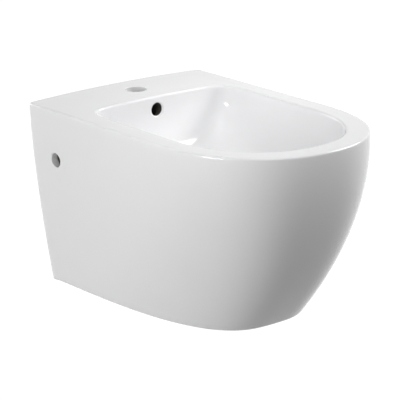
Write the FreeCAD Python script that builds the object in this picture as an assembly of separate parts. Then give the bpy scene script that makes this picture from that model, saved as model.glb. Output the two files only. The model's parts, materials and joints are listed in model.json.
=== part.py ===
import FreeCAD
import Part
import math
import os
from FreeCAD import Vector

# A wall-hung bidet: a hollow china body with its bowl waste, bottle trap and wall fixing.
# Millimetres. +X is to the right seen from the front, +Y runs into the wall and +Z is up.
# The origin is on the wall plane, midway between the two wall studs.

# China body, outside
BODY_WIDTH = 360.0  # across the rim
BODY_LENGTH = 530.0  # wall to nose, at the rim
BODY_HEIGHT = 310.0  # underside to rim
BASE_WIDTH = 280.0  # across the underside, at the wall
BASE_LENGTH = 405.0  # wall to nose, at the underside
SIDE_STRAIGHT = 318.0  # straight stretch of a side at the rim, from the wall
BASE_STRAIGHT = 30.0  # the same at the underside
DECK_CROWN = 4.5  # rise of the deck in the middle of its back edge
STUD_DROP = 84.0  # rim down to the wall studs
RIM_ROUND = 5.0  # rounding of the outer rim edge
SHELL_ROUND = 9.0  # rounding of the corners at the wall and of the underside's edge

# China body, walls
SKIRT_WALL = 12.0
DECK_WALL = 14.0
BACK_WALL = 14.0
BASE_WALL = 12.0
BASE_FLANGE = 34.0  # width of the ledge round the opening in the underside
BASE_BRIDGE = 40.0  # depth of the ledge along the wall
TRAP_ROOM = 8.0  # free space round the trap in the underside
PIPE_ROOM = 38.0  # free space under the outlet pipe in the back plate
BACK_HEAD = 26.0  # deck underside down to the opening in the back plate
BACK_LAND = 13.0  # china between that opening and a sleeve hole
BACK_ROUND = 20.0  # corner radius of that opening

# Bowl
RIM_WIDTH = 37.0  # outer edge to bowl edge, at the sides and the nose
BOWL_BACK = 112.0  # wall to the bowl's back edge
BOWL_DEPTH = 122.0  # rim to drain
BOWL_WALL = 10.0
BOWL_ROUND = 5.0  # rounding of the bowl's edge
LIP_BITE = 0.2  # how far the rounding starts inside the bowl's wall
FLOOR_FALL = 8.0  # fall of the bowl's floor towards the drain
DISH_RADIUS = 45.0  # flat round the drain
DRAIN_FROM_WALL = 262.0

# Holes in the china
TAP_HOLE_RADIUS = 17.5
TAP_FROM_WALL = 56.0
TAP_HOLE_BEVEL = 2.0
OVERFLOW_RADIUS = 11.0
OVERFLOW_DROP = 19.5  # rim down to the middle of the overflow
OVERFLOW_BEVEL = 2.0
DUCT_WALL = 5.0  # china round the overflow duct
DUCT_SETBACK = 22.0  # bowl's back edge to the middle of the falling duct
DUCT_BEND = 18.0  # bend radius of the duct
DUCT_FALL = 10.0  # fall of the duct's lower run
DUCT_RISE = 20.0  # boss underside up to the duct's end
SIDE_HOLE_RADIUS = 11.7
SIDE_HOLE_FROM_WALL = 67.0

# Powers of the curves: 2 is an ellipse, more is squarer
RIM_NOSE_POWER = 2.26
BASE_NOSE_POWER = 3.0
BOWL_BACK_POWER = 10.0
BOWL_SIDE_POWER = 2.5
LENGTH_TAPER_POWER = 2.0
WIDTH_TAPER_POWER = 1.44

# Levels of the lofts, from low to high, and points on a curve
BODY_LEVEL_SHARES = (0.0, 0.19, 0.38, 0.56, 0.73, 0.86, 0.95, 1.0)
BOWL_TURN_SHARES = (0.0, 0.2, 0.38, 0.54, 0.68, 0.8, 0.9, 1.0)
LIP_TURN_SHARES = (0.1, 0.26, 0.42, 0.58, 0.74, 0.88)
SIDE_STEPS = 3
NOSE_STEPS = 10
BOWL_STEPS = 88

# Fits between pieces
OVERRUN = 5.0  # how far a cut runs past its piece
THREAD_GAP = 0.05
SLIDE_GAP = 0.06
EASY_GAP = 0.3

# Bowl waste
WASTE_RADIUS = 20.95
WASTE_WALL = 2.3
WASTE_TAIL = 16.0  # back nut down to the tail's end
FLANGE_RADIUS = 32.0
FLANGE_HEIGHT = 3.0
FLANGE_BEVEL = 1.2
SEAT_DEPTH = 4.0  # recess for the flange in the bowl
SEAT_GAP = 1.5  # round the flange in its recess
FLANGE_SEAL_HEIGHT = 2.0
BOSS_WALL = 14.0  # china round the drain hole
BOSS_HEIGHT = 44.0  # bowl floor to boss underside
OVERFLOW_GAP = 2.1  # round the waste, for overflow water
SLOT_WIDTH = 11.0
SLOT_HEIGHT = 15.0
SLOT_COUNT = 4
UNDER_SEAL_HEIGHT = 6.0
UNDER_SEAL_LIP = 3.0  # stands up into the drain hole
UNDER_SEAL_WIDTH = 12.0
SLIP_HEIGHT = 2.0
BACK_NUT_HEIGHT = 10.0
BACK_NUT_FLATS = 54.0

# Push plug in the waste
SPIDER_HEIGHT = 5.0
SPIDER_ABOVE_TAIL = 38.0
SPIDER_ARM = 3.0
SPIDER_ARMS = 3
HUB_RADIUS = 7.0
CARTRIDGE_RADIUS = 7.5
CARTRIDGE_WALL = 2.2
CARTRIDGE_FLOOR = 3.0
CARTRIDGE_HEIGHT = 28.0
CARTRIDGE_STUD_RADIUS = 4.0
CARTRIDGE_CAP_HEIGHT = 3.0
PISTON_HEIGHT = 3.0
ROD_RADIUS = 3.0
PLUG_TRAVEL = 9.0
PISTON_STOP = 1.0  # piston to cap ring with the plug up
SPRING_WIRE = 0.9
SPRING_TURNS = 5
SPRING_SIDE_GAP = 0.4
PLUG_RADIUS = 29.5
PLUG_EDGE = 2.0  # upright edge of the plug
PLUG_CROWN = 5.0
PLUG_LIFT = 1.0  # plug edge above the flange when shut
PLUG_RECESS = 2.0
PLUG_LIP = 2.5  # wall outside the recess
PLUG_BOSS_RADIUS = 8.0
PLUG_BOSS_DEPTH = 4.0  # below the plug's underside
ROD_GRIP = 6.0  # length of rod in the plug
PLUG_SEAL_WIDTH = 6.0

# Bottle trap
INLET_SEAL_HEIGHT = 2.0
COLLAR_HEIGHT = 3.0
NUT_LIP = 3.0
NUT_WALL = 5.0
INLET_NUT_GRIP = 12.0  # thread above the tail's end
PIPE_RADIUS = 16.0
PIPE_WALL = 1.6
TRAP_RADIUS = 29.0
TRAP_WALL = 3.0
TRAP_GAP = 1.0  # inlet nut to head
TRAP_COLLAR_HEIGHT = 3.0
TRAP_COLLAR_WALL = 3.5
TUBE_SEAL_WIDTH = 2.5
TRAP_SHOULDER = 4.0  # bevel at the top of the head
NECK_HEIGHT = 12.0
NECK_STEP = 2.0
STUB_LENGTH = 20.0
STUB_WALL = 3.0
STUB_MARGIN = 2.7  # head above and below its outlet stub
STUB_STOP = 2.0  # ledge that the outlet pipe butts on
CUP_COLLAR_WALL = 3.9
CUP_SEAL_HEIGHT = 2.0
CUP_SEAL_WIDTH = 2.7
CUP_LEDGE = 2.0
CUP_DEPTH = 35.0  # ledge down to the cup's underside
CUP_BEVEL = 7.0
DIP_CLEARANCE = 9.0  # dip tube's end above the cup's floor
OUTLET_SEAL_LENGTH = 5.0
OUTLET_NUT_GRIP = 15.0
SPIGOT_LENGTH = 45.0  # end of the outlet pipe that goes into the wall's drain
MARK_WIDTH = 1.5  # depth mark round the outlet pipe
MARK_DEPTH = 0.3
RIB_COUNT = 16
RIB_GROOVE_RADIUS = 1.6

# Wall fixing
STUD_SPACING = 180.0
STUD_HOLE_RADIUS = 6.5
SLEEVE_RADIUS = 14.0
SLEEVE_PAST_CLAMP = 13.0
BUSH_WALL = 2.5
BUSH_LIP = 3.0  # width and thickness of the bush's inner lip
SADDLE_WALL = 8.0
SADDLE_LENGTH = 30.0
SADDLE_HEIGHT = 34.0
LUG_THICKNESS = 10.0
LUG_HEIGHT = 52.0
LUG_PAST_CLAMP = 24.0
CLAMP_RADIUS = 4.0
CLAMP_HOLE_GAP = 0.5
CLAMP_BITE = 6.0  # length of clamp screw in the sleeve
CLAMP_HEAD_RADIUS = 6.5
CLAMP_HEAD_HEIGHT = 8.0
CLAMP_SOCKET_FLATS = 6.0
CLAMP_SOCKET_DEPTH = 4.0
CLAMP_WASHER_RADIUS = 9.0
CLAMP_WASHER_HEIGHT = 2.0
STUD_WASHER_RADIUS = 12.0
STUD_WASHER_HEIGHT = 2.5
STUD_NUT_FLATS = 19.0
STUD_NUT_HEIGHT = 10.0
STUD_NUT_BORE = 6.1

# Levels and places that follow from these
RIM = STUD_DROP
UNDERSIDE = RIM - BODY_HEIGHT
DECK_LOW = RIM - DECK_WALL
BOWL_FLOOR = RIM - BOWL_DEPTH
DRAIN = Vector(0, -DRAIN_FROM_WALL, 0)
BOSS_BORE = WASTE_RADIUS + OVERFLOW_GAP
BOSS_RADIUS = BOSS_BORE + BOSS_WALL
SEAT = BOWL_FLOOR - SEAT_DEPTH
FLANGE_LOW = SEAT + FLANGE_SEAL_HEIGHT
FLANGE_TOP = FLANGE_LOW + FLANGE_HEIGHT
BOSS_LOW = BOWL_FLOOR - BOSS_HEIGHT
SEAL_LOW = BOSS_LOW - UNDER_SEAL_HEIGHT
SLIP_LOW = SEAL_LOW - SLIP_HEIGHT
BACK_NUT_LOW = SLIP_LOW - BACK_NUT_HEIGHT
TAIL_END = BACK_NUT_LOW - WASTE_TAIL
WASTE_BORE = WASTE_RADIUS - WASTE_WALL
DUCT_END = BOSS_LOW + DUCT_RISE

SPIDER_LOW = TAIL_END + SPIDER_ABOVE_TAIL
SPIDER_TOP = SPIDER_LOW + SPIDER_HEIGHT
CARTRIDGE_BORE = CARTRIDGE_RADIUS - CARTRIDGE_WALL
CARTRIDGE_TOP = SPIDER_TOP + CARTRIDGE_HEIGHT
SPRING_LOW = SPIDER_TOP + CARTRIDGE_FLOOR
PISTON_TOP = CARTRIDGE_TOP - PISTON_STOP - PLUG_TRAVEL
PISTON_LOW = PISTON_TOP - PISTON_HEIGHT
PLUG_LOW = FLANGE_TOP + PLUG_LIFT
PLUG_UNDER = PLUG_LOW + PLUG_RECESS
PLUG_BOSS_LOW = PLUG_UNDER - PLUG_BOSS_DEPTH

COLLAR_TOP = TAIL_END - INLET_SEAL_HEIGHT
COLLAR_LOW = COLLAR_TOP - COLLAR_HEIGHT
INLET_NUT_LOW = COLLAR_LOW - NUT_LIP
HEAD_COLLAR_TOP = INLET_NUT_LOW - TRAP_GAP
HEAD_TOP = HEAD_COLLAR_TOP - TRAP_COLLAR_HEIGHT
STUB_BORE = PIPE_RADIUS + EASY_GAP
STUB_RADIUS = STUB_BORE + STUB_WALL
STUB_END = TRAP_RADIUS + STUB_LENGTH - DRAIN_FROM_WALL
OUTLET = HEAD_TOP - STUB_MARGIN - STUB_RADIUS
HEAD_LOW = OUTLET - STUB_RADIUS - STUB_MARGIN
NECK_LOW = HEAD_LOW - NECK_HEIGHT
NECK_RADIUS = TRAP_RADIUS - NECK_STEP
CUP_LEDGE_TOP = NECK_LOW - CUP_SEAL_HEIGHT
CUP_LOW = CUP_LEDGE_TOP - CUP_DEPTH
CUP_RADIUS = NECK_RADIUS + THREAD_GAP + CUP_COLLAR_WALL
DIP_END = CUP_LOW + TRAP_WALL + DIP_CLEARANCE

STUD_X = STUD_SPACING / 2
SLEEVE_LENGTH = SIDE_HOLE_FROM_WALL + SLEEVE_PAST_CLAMP
BUSH_RADIUS = SLEEVE_RADIUS + EASY_GAP + BUSH_WALL
SLEEVE_HOLE_RADIUS = BUSH_RADIUS + EASY_GAP
LUG_INNER = STUD_X + SLEEVE_RADIUS + SADDLE_WALL
LUG_OUTER = LUG_INNER + LUG_THICKNESS
LUG_LENGTH = SIDE_HOLE_FROM_WALL + LUG_PAST_CLAMP
CLAMP_HEAD_X = LUG_OUTER + CLAMP_WASHER_HEIGHT
CLAMP_TIP_X = STUD_X + SLEEVE_RADIUS - CLAMP_BITE
BACK_OPENING = STUD_SPACING - 2 * (SLEEVE_HOLE_RADIUS + BACK_LAND)


# Simple solids

def rod(radius, start, end):
    """Round bar from one point to another."""
    run = end.sub(start)
    return Part.makeCylinder(radius, run.Length, start, run)


def tube(outer, inner, start, end):
    """Round pipe from one point to another."""
    return rod(outer, start, end).cut(rod(inner, start, end))


def block(low, high):
    """Box between two opposite corners."""
    size = high.sub(low)
    return Part.makeBox(size.x, size.y, size.z, low)


def at_drain(level):
    """Point on the drain's axis."""
    return DRAIN.add(Vector(0, 0, level))


def at_outlet(y):
    """Point on the outlet pipe's axis."""
    return Vector(0, y, OUTLET)


def at_stud(y):
    """Point on the right wall stud's axis."""
    return Vector(STUD_X, y, 0)


def at_clamp(x):
    """Point on the clamp screws' axis."""
    return Vector(x, -SIDE_HOLE_FROM_WALL, 0)


def ring(outer, inner, low, high):
    """Flat ring on the drain's axis."""
    return tube(outer, inner, at_drain(low), at_drain(high))


def turned(profile):
    """Solid turned on the drain's axis from radius and level pairs."""
    points = [at_drain(level).add(Vector(radius, 0, 0)) for radius, level in profile]
    face = Part.Face(Part.makePolygon(points + points[:1]))
    return face.revolve(DRAIN, Vector(0, 0, 1), 360)


def around(solid, centre, axis, count):
    """Copies of a solid, evenly spaced round an axis."""
    copies = []
    for index in range(count):
        copy = solid.copy()
        copy.rotate(centre, axis, 360.0 * index / count)
        copies.append(copy)
    return copies


def hexagon(flats, start, end):
    """Six-sided bar from one point to another."""
    run = end.sub(start)
    across = Vector(0, 0, 1) if run.z == 0 else Vector(1, 0, 0)
    along = run.cross(across).normalize()
    radius = flats / math.sqrt(3)
    points = []
    for corner in range(7):
        turn = math.radians(60 * corner)
        points.append(start + across * (radius * math.cos(turn)) + along * (radius * math.sin(turn)))
    return Part.Face(Part.makePolygon(points)).extrude(run)


def ribbed(solid, radius, start, end):
    """Cuts finger grooves round a hand nut."""
    run = end.sub(start)
    side = Vector(0, 0, 1) if run.z == 0 else Vector(1, 0, 0)
    offset = side * radius
    groove = rod(RIB_GROOVE_RADIUS, start + offset, end + offset)
    return solid.cut(around(groove, start, run, RIB_COUNT))


def mirrored(solid):
    """The same piece on the other side of the middle plane."""
    return solid.mirror(Vector(0, 0, 0), Vector(1, 0, 0))


# China body

def down(level):
    """How far a level is down the body: 0 at the rim and above, 1 at the underside."""
    return max(0.0, (RIM - level) / BODY_HEIGHT)


def body_section(level, inset, back):
    """Outline of the body at a level: straight at the wall, with a rounded nose."""
    share = down(level)
    half = (BODY_WIDTH - (BODY_WIDTH - BASE_WIDTH) * share ** WIDTH_TAPER_POWER) / 2 - inset
    length = BODY_LENGTH - (BODY_LENGTH - BASE_LENGTH) * share ** LENGTH_TAPER_POWER - inset
    straight = SIDE_STRAIGHT - (SIDE_STRAIGHT - BASE_STRAIGHT) * share ** LENGTH_TAPER_POWER
    power = RIM_NOSE_POWER + (BASE_NOSE_POWER - RIM_NOSE_POWER) * share
    points = []
    for step in range(SIDE_STEPS):
        points.append(Vector(half, back - (straight + back) * step / SIDE_STEPS, level))
    for step in range(NOSE_STEPS + 1):
        turn = math.pi / 2 * step / NOSE_STEPS
        across = half * max(0.0, math.cos(turn)) ** (2 / power)
        forward = straight + (length - straight) * math.sin(turn) ** (2 / power)
        points.append(Vector(across, -forward, level))
    points[-1].x = 0
    points += [Vector(-point.x, point.y, point.z) for point in reversed(points[:-1])]
    curve = Part.BSplineCurve()
    curve.interpolate(points)
    return Part.Wire([curve.toShape(), Part.makeLine(points[-1], points[0])])


def body_solid(low, high, inset, back):
    """Body between two levels, set in from its outside."""
    levels = [low + (high - low) * share for share in BODY_LEVEL_SHARES]
    return Part.makeLoft([body_section(level, inset, back) for level in levels], True, False)


def crown_rise(x):
    """Rise of the deck above the rim at its back end, as an arc across the body."""
    radius = (BODY_WIDTH ** 2 / 4 + DECK_CROWN ** 2) / (2 * DECK_CROWN)
    return DECK_CROWN - radius + math.sqrt(radius ** 2 - x ** 2)


def deck_rise(x, y):
    """Rise of the deck above the rim, fading evenly from the wall to the nose."""
    return crown_rise(x) * (1 + y / (BODY_LENGTH + OVERRUN))


def crown_block():
    """Everything under the deck: crowned along the wall, flat at the nose."""
    half = BODY_WIDTH / 2 + OVERRUN
    low = UNDERSIDE - OVERRUN
    ends = []
    for y, side, middle in ((0, crown_rise(half), DECK_CROWN), (-BODY_LENGTH - OVERRUN, 0, 0)):
        left = Vector(-half, y, RIM + side)
        right = Vector(half, y, RIM + side)
        left_low = Vector(-half, y, low)
        right_low = Vector(half, y, low)
        top = Part.makeLine(left, right)
        if middle > side:
            top = Part.Arc(left, Vector(0, y, RIM + middle), right).toShape()
        ends.append(Part.Wire([top, Part.makeLine(right, right_low), Part.makeLine(right_low, left_low),
                               Part.makeLine(left_low, left)]))
    return Part.makeLoft(ends, True, True)


def nearest_edge(shape, point):
    """Edge of a shape that passes closest to a point."""
    return min(shape.Edges, key=lambda edge: edge.distToShape(Part.Vertex(point))[0])


def outer_body():
    """Outside of the china body, with its edges rounded."""
    body = body_solid(UNDERSIDE, RIM + DECK_CROWN + OVERRUN, 0, OVERRUN).common(crown_block()).Solids[0]
    corner = Vector(BODY_WIDTH / 2, 0, 0)
    places = [corner, -corner, Vector(0, -BASE_LENGTH, UNDERSIDE)]
    body = body.makeFillet(SHELL_ROUND, [nearest_edge(body, place) for place in places])
    return body.makeFillet(RIM_ROUND, [nearest_edge(body, Vector(0, -BODY_LENGTH, RIM))])


def bowl_reach(turn, offset):
    """Distance from the bowl's middle to its edge in one direction."""
    across = math.cos(turn) / (BODY_WIDTH / 2 - RIM_WIDTH + offset)
    power = RIM_NOSE_POWER
    ahead = BODY_LENGTH - RIM_WIDTH - SIDE_STRAIGHT
    if math.sin(turn) > 0:
        power = BOWL_BACK_POWER
        ahead = SIDE_STRAIGHT - BOWL_BACK
    along = math.sin(turn) / (ahead + offset)
    return (abs(across) ** power + abs(along) ** power) ** (-1 / power)


def bowl_section(level, spread, offset, crowned=False):
    """Closed outline of the bowl, between its round dish and its edge, level or following the deck."""
    points = []
    for step in range(BOWL_STEPS):
        turn = 2 * math.pi * (step + 0.5) / BOWL_STEPS - math.pi / 2
        way = Vector(math.cos(turn), math.sin(turn), 0)
        edge = Vector(0, -SIDE_STRAIGHT, 0) + way * bowl_reach(turn, offset)
        dish = DRAIN + way * (DISH_RADIUS + offset)
        point = dish * (1 - spread) + edge * spread
        rise = deck_rise(point.x, point.y) if crowned else 0
        points.append(Vector(point.x, point.y, level + rise))
    curve = Part.BSplineCurve()
    curve.interpolate(points, PeriodicFlag=True)
    return Part.Wire([curve.toShape()])


def bowl_solid(offset):
    """Space in the bowl, or with an offset the bowl's underside, up past the rim."""
    sections = []
    for share in BOWL_TURN_SHARES:
        turn = math.pi / 2 * share
        spread = math.sin(turn) ** (2 / BOWL_SIDE_POWER)
        rise = 1 - max(0.0, math.cos(turn)) ** (2 / BOWL_SIDE_POWER)
        level = BOWL_FLOOR - offset + (BOWL_DEPTH + offset - FLOOR_FALL) * rise + FLOOR_FALL * spread
        sections.append(bowl_section(level, spread, offset))
    sections.append(bowl_section(RIM + DECK_CROWN + OVERRUN, 1.0, offset))
    return Part.makeLoft(sections, True, False)


def lip_solid():
    """Space above the rounded edge of the bowl, in short flats that follow a quarter round."""
    sections = [bowl_section(RIM - DECK_CROWN - 2 * BOWL_ROUND, 1.0, -BOWL_ROUND / 2)]
    for share in LIP_TURN_SHARES:
        turn = math.pi / 2 * share
        out = BOWL_ROUND * (1 - math.cos(turn)) - LIP_BITE
        sections.append(bowl_section(RIM - BOWL_ROUND * (1 - math.sin(turn)), 1.0, out, True))
    sections.append(bowl_section(RIM + DECK_CROWN + OVERRUN, 1.0, BOWL_ROUND + OVERRUN))
    return Part.makeLoft(sections, True, True)


def duct_path():
    """Middle line of the overflow duct, from the bowl down and forward to the drain."""
    top = RIM - OVERFLOW_DROP
    back = DUCT_SETBACK - BOWL_BACK
    low = DUCT_END + DUCT_FALL
    corners = [Vector(0, -BOWL_BACK - OVERRUN, top), Vector(0, back, top), Vector(0, back, low),
               Vector(0, BOSS_BORE - OVERRUN - DRAIN_FROM_WALL, DUCT_END)]
    edges = []
    start = corners[0]
    for before, corner, after in zip(corners, corners[1:], corners[2:]):
        come = (before - corner).normalize()
        leave = (after - corner).normalize()
        half_angle = come.getAngle(leave) / 2
        reach = DUCT_BEND / math.tan(half_angle)
        inward = (come + leave).normalize()
        middle = corner + inward * (DUCT_BEND / math.sin(half_angle) - DUCT_BEND)
        bend = Part.Arc(corner + come * reach, middle, corner + leave * reach).toShape()
        edges += [Part.makeLine(start, corner + come * reach), bend]
        start = corner + leave * reach
    edges.append(Part.makeLine(start, corners[-1]))
    return Part.Wire(edges)


def duct_solid(radius):
    """Round bar along the overflow duct."""
    path = duct_path()
    start = path.Vertexes[0].Point
    profile = Part.Wire([Part.makeCircle(radius, start, Vector(0, 1, 0))])
    return path.makePipeShell([profile], True, False)


def clamp_lug():
    """Web on the right of the back plate that its clamp screw passes through."""
    web = block(Vector(LUG_INNER, -LUG_LENGTH, -LUG_HEIGHT / 2), Vector(LUG_OUTER, 0, LUG_HEIGHT / 2))
    hole = rod(CLAMP_RADIUS + CLAMP_HOLE_GAP, at_clamp(LUG_INNER - OVERRUN), at_clamp(LUG_OUTER + OVERRUN))
    return web.cut(hole)


def hollow():
    """Space inside the skirt, round the clamp lugs."""
    space = body_solid(UNDERSIDE + BASE_WALL, DECK_LOW + OVERRUN, SKIRT_WALL, -BACK_WALL)
    return space.cut(clamp_lug()).cut(mirrored(clamp_lug()))


def base_opening():
    """Opening in the underside, through which the trap is reached."""
    low = UNDERSIDE - OVERRUN
    height = Vector(0, 0, BASE_WALL + 2 * OVERRUN)
    outline = body_section(UNDERSIDE, BASE_FLANGE, 0)
    outline.translate(Vector(0, 0, -OVERRUN))
    prism = Part.Face(outline).extrude(height)
    ahead = block(Vector(-BODY_WIDTH, -BODY_LENGTH, low), Vector(BODY_WIDTH, -BASE_BRIDGE, low + height.z))
    return prism.common(ahead).fuse(rod(CUP_RADIUS + TRAP_ROOM, at_drain(low), at_drain(low + height.z)))


def back_opening():
    """Opening in the back plate, for the outlet pipe and the tap's supply pipes."""
    low = OUTLET - PIPE_RADIUS - PIPE_ROOM
    high = DECK_LOW - BACK_HEAD
    half = BACK_OPENING / 2
    box = block(Vector(-half, -BACK_WALL - OVERRUN, low), Vector(half, OVERRUN, high))
    corners = [edge for edge in box.Edges if edge.Vertexes[0].Point.sub(edge.Vertexes[1].Point).y]
    return box.makeFillet(BACK_ROUND, corners)


def bevel(radius, width, place, way):
    """Cone that takes the sharp edge off a hole's mouth, opening out along a direction."""
    depth = width + OVERRUN
    return Part.makeCone(radius, radius + depth, depth, place - way * width, way)


def carved(solid, spaces):
    """A solid with several spaces cut out of it."""
    for space in spaces:
        solid = solid.cut(space)
    return solid.Solids[0]


def ceramic_body():
    """The china casting, as three solids that meet under the deck: rim, bowl and skirt."""
    far = Vector(BODY_WIDTH, BODY_LENGTH, BODY_HEIGHT)
    above = block(Vector(-far.x, -2 * far.y, DECK_LOW), far)
    below = block(Vector(-far.x, -2 * far.y, -far.z), Vector(far.x, far.y, DECK_LOW))
    outside = outer_body()
    bowl = bowl_solid(0)
    duct = duct_solid(OVERFLOW_RADIUS)
    overflow = Vector(0, -BOWL_BACK, RIM - OVERFLOW_DROP)
    overflow_bevel = bevel(OVERFLOW_RADIUS, OVERFLOW_BEVEL, overflow, Vector(0, -1, 0))

    tap = Vector(0, -TAP_FROM_WALL, RIM + deck_rise(0, -TAP_FROM_WALL))
    tap_hole = rod(TAP_HOLE_RADIUS, Vector(0, tap.y, DECK_LOW - OVERRUN), tap + Vector(0, 0, OVERRUN))
    tap_bevel = bevel(TAP_HOLE_RADIUS, TAP_HOLE_BEVEL, tap, Vector(0, 0, 1))
    rim = carved(outside.common(above), [bowl, lip_solid(), duct, overflow_bevel, tap_hole, tap_bevel])

    boss = rod(BOSS_RADIUS, at_drain(BOSS_LOW), at_drain(BOWL_FLOOR))
    basin = bowl_solid(BOWL_WALL).fuse(boss).fuse(duct_solid(OVERFLOW_RADIUS + DUCT_WALL)).common(below)
    boss_hole = rod(BOSS_BORE, at_drain(BOSS_LOW - OVERRUN), at_drain(BOWL_FLOOR + OVERRUN))
    seat = rod(FLANGE_RADIUS + SEAT_GAP, at_drain(SEAT), at_drain(BOWL_FLOOR + OVERRUN))
    basin = carved(basin, [bowl, duct, overflow_bevel, boss_hole, seat])

    side_start = at_clamp(CLAMP_HEAD_X + CLAMP_HEAD_HEIGHT)
    side_hole = rod(SIDE_HOLE_RADIUS, side_start, at_clamp(BODY_WIDTH / 2 + OVERRUN))
    sleeve_hole = rod(SLEEVE_HOLE_RADIUS, at_stud(-BACK_WALL - OVERRUN), at_stud(OVERRUN))
    skirt = carved(outside.common(below), [
        hollow(), side_hole, mirrored(side_hole), sleeve_hole, mirrored(sleeve_hole), base_opening(),
        back_opening()])
    return Part.makeCompound([rim, basin, skirt])


# Bowl waste

def waste_body():
    tail = ring(WASTE_RADIUS, WASTE_BORE, TAIL_END, FLANGE_LOW)
    shoulder = FLANGE_TOP - FLANGE_BEVEL
    flange = turned([(WASTE_BORE, FLANGE_LOW), (FLANGE_RADIUS, FLANGE_LOW), (FLANGE_RADIUS, shoulder),
                     (FLANGE_RADIUS - FLANGE_BEVEL, FLANGE_TOP), (WASTE_BORE + FLANGE_BEVEL, FLANGE_TOP),
                     (WASTE_BORE, shoulder)])
    low = DUCT_END - SLOT_HEIGHT / 2
    slot = block(at_drain(low) + Vector(0, -SLOT_WIDTH / 2, 0),
                 at_drain(low) + Vector(WASTE_RADIUS + OVERRUN, SLOT_WIDTH / 2, SLOT_HEIGHT))
    hub = rod(HUB_RADIUS, at_drain(SPIDER_LOW), at_drain(SPIDER_TOP))
    arm = block(at_drain(SPIDER_LOW) + Vector(0, -SPIDER_ARM / 2, 0),
                at_drain(SPIDER_TOP) + Vector(WASTE_BORE + WASTE_WALL / 2, SPIDER_ARM / 2, 0))
    up = Vector(0, 0, 1)
    slots = around(slot, DRAIN, up, SLOT_COUNT)
    spider = hub.fuse(around(arm, DRAIN, up, SPIDER_ARMS))
    spider = spider.cut(rod(CARTRIDGE_STUD_RADIUS + THREAD_GAP, at_drain(SPIDER_LOW), at_drain(SPIDER_TOP)))
    return tail.fuse(flange).cut(slots).fuse(spider).removeSplitter()


def waste_flange_seal():
    return ring(FLANGE_RADIUS - FLANGE_BEVEL, BOSS_BORE, SEAT, FLANGE_LOW)


def waste_under_seal():
    inner = WASTE_RADIUS + EASY_GAP
    outer = inner + UNDER_SEAL_WIDTH
    lip = BOSS_BORE - EASY_GAP
    return turned([(inner, SEAL_LOW), (outer, SEAL_LOW), (outer, BOSS_LOW), (lip, BOSS_LOW),
                   (lip, BOSS_LOW + UNDER_SEAL_LIP), (inner, BOSS_LOW + UNDER_SEAL_LIP)])


def waste_slip_washer():
    inner = WASTE_RADIUS + EASY_GAP
    return ring(inner + UNDER_SEAL_WIDTH, inner, SLIP_LOW, SEAL_LOW)


def waste_back_nut():
    nut = hexagon(BACK_NUT_FLATS, at_drain(BACK_NUT_LOW), at_drain(SLIP_LOW))
    return nut.cut(rod(WASTE_RADIUS + THREAD_GAP, at_drain(BACK_NUT_LOW), at_drain(SLIP_LOW)))


# Push plug

def click_cartridge():
    housing = turned([(0, SPIDER_TOP), (CARTRIDGE_RADIUS, SPIDER_TOP), (CARTRIDGE_RADIUS, CARTRIDGE_TOP),
                      (CARTRIDGE_BORE, CARTRIDGE_TOP), (CARTRIDGE_BORE, SPRING_LOW), (0, SPRING_LOW)])
    stud = rod(CARTRIDGE_STUD_RADIUS, at_drain(SPIDER_LOW), at_drain(SPIDER_TOP))
    return housing.fuse(stud).removeSplitter()


def cartridge_cap():
    top = CARTRIDGE_TOP + CARTRIDGE_CAP_HEIGHT
    return ring(CARTRIDGE_RADIUS, ROD_RADIUS + EASY_GAP, CARTRIDGE_TOP, top)


def plug_stem():
    piston = rod(CARTRIDGE_BORE - SLIDE_GAP, at_drain(PISTON_LOW), at_drain(PISTON_TOP))
    stem = rod(ROD_RADIUS, at_drain(PISTON_TOP), at_drain(PLUG_BOSS_LOW + ROD_GRIP))
    return piston.fuse(stem).removeSplitter()


def click_spring():
    radius = CARTRIDGE_BORE - SPRING_SIDE_GAP - SPRING_WIRE / 2
    low = SPRING_LOW + SPRING_WIRE / 2
    height = PISTON_LOW - SPRING_LOW - SPRING_WIRE
    coil = Part.makeHelix(height / SPRING_TURNS, height, radius)
    profile = Part.Wire([Part.makeCircle(SPRING_WIRE / 2, Vector(radius, 0, 0), Vector(0, 1, 0))])
    spring = Part.Wire(coil.Edges).makePipeShell([profile], True, True)
    spring.translate(at_drain(low))
    return spring


def plug_cap():
    edge_top = PLUG_LOW + PLUG_EDGE
    crown = edge_top + PLUG_CROWN
    recess = PLUG_RADIUS - PLUG_LIP
    shoulder = PLUG_RADIUS / math.sqrt(2)
    start = at_drain(crown)
    edge = at_drain(edge_top) + Vector(PLUG_RADIUS, 0, 0)
    middle = at_drain(edge_top + PLUG_CROWN / 2) + Vector(shoulder, 0, 0)
    lower = [(PLUG_RADIUS, edge_top), (PLUG_RADIUS, PLUG_LOW), (recess, PLUG_LOW), (recess, PLUG_UNDER),
             (PLUG_BOSS_RADIUS, PLUG_UNDER), (PLUG_BOSS_RADIUS, PLUG_BOSS_LOW), (0, PLUG_BOSS_LOW),
             (0, crown)]
    points = [at_drain(level) + Vector(radius, 0, 0) for radius, level in lower]
    dome = Part.Arc(start, middle, edge).toShape()
    outline = Part.Wire([dome] + [Part.makeLine(one, other) for one, other in zip(points, points[1:])])
    cap = Part.Face(outline).revolve(DRAIN, Vector(0, 0, 1), 360)
    grip_end = at_drain(PLUG_BOSS_LOW + ROD_GRIP)
    return cap.cut(rod(ROD_RADIUS + THREAD_GAP, at_drain(PLUG_BOSS_LOW), grip_end))


def plug_seal():
    outer = PLUG_RADIUS - PLUG_LIP - EASY_GAP
    return ring(outer, outer - PLUG_SEAL_WIDTH, FLANGE_TOP + EASY_GAP, PLUG_UNDER)


# Bottle trap

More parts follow.
